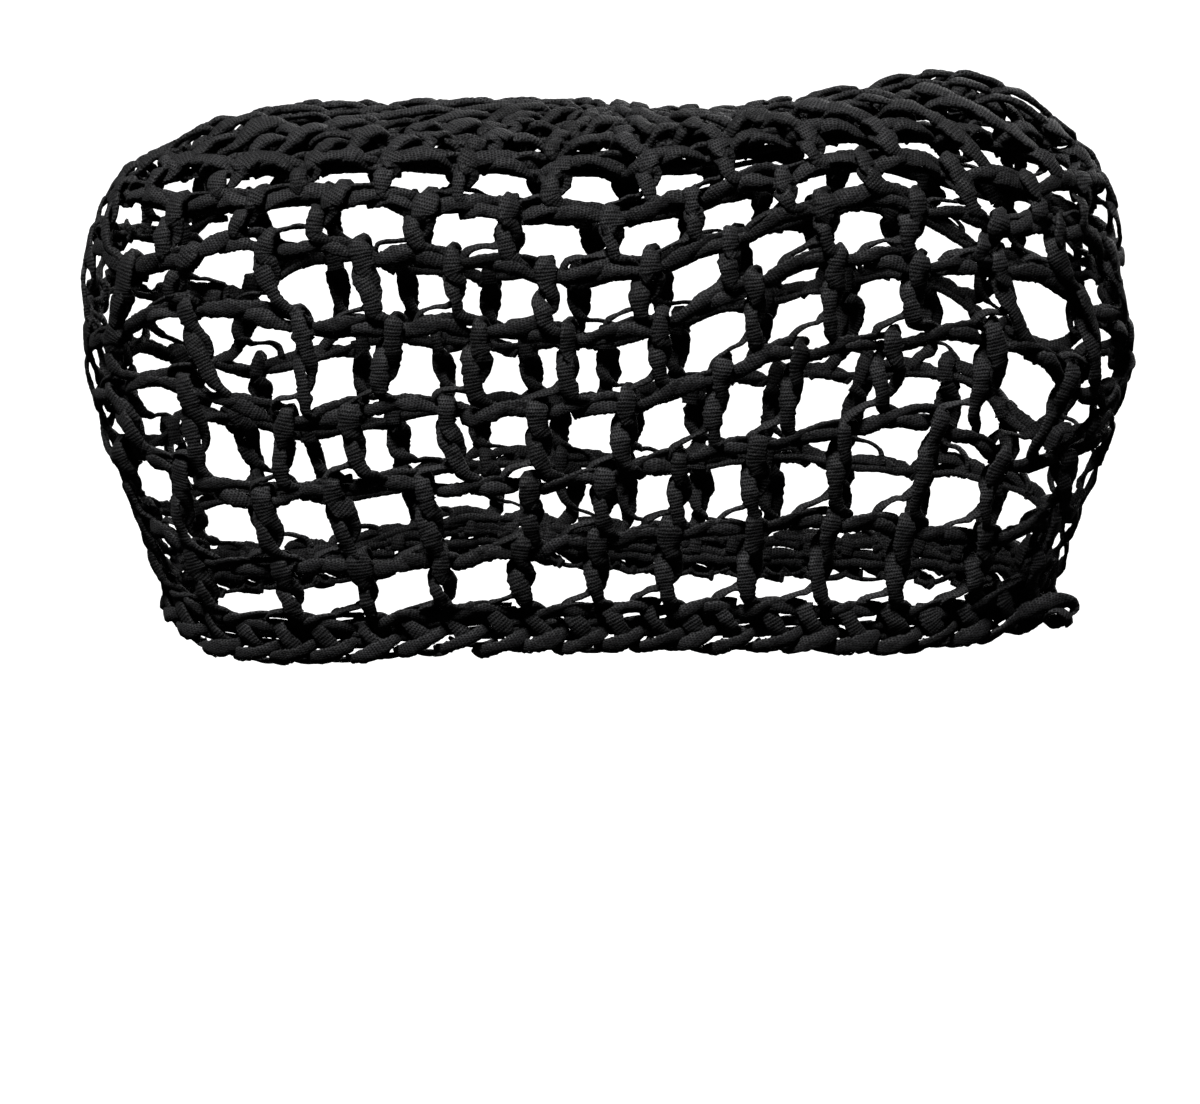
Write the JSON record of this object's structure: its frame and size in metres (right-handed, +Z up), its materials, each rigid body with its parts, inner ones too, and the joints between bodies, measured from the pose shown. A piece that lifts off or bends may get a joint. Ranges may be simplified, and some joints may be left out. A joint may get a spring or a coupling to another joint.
{
  "type": "wig cap",
  "caption": "Crocheted wide-mesh net cap of flat tape, deep rounded crown, dense rim band, stretched wide as worn.",
  "frame": {"origin": "under the middle of the crown, where the cap rests on what wears it", "axes": "+Z up through the crown, +X to the right along the long side as seen from the front, -Y towards the front"},
  "size_m": [0.3021, 0.1211, 0.1637],
  "materials": {
    "nylon_tape": "black knitted nylon tape, soft and matt with a faint sheen on its ribs"
  },
  "bodies": {
    "root": {"start_ring": "nylon_tape", "crown_net": "nylon_tape", "side_net": "nylon_tape", "rim_band": "nylon_tape", "end_knot": "nylon_tape"}
  },
  "joints": []
}
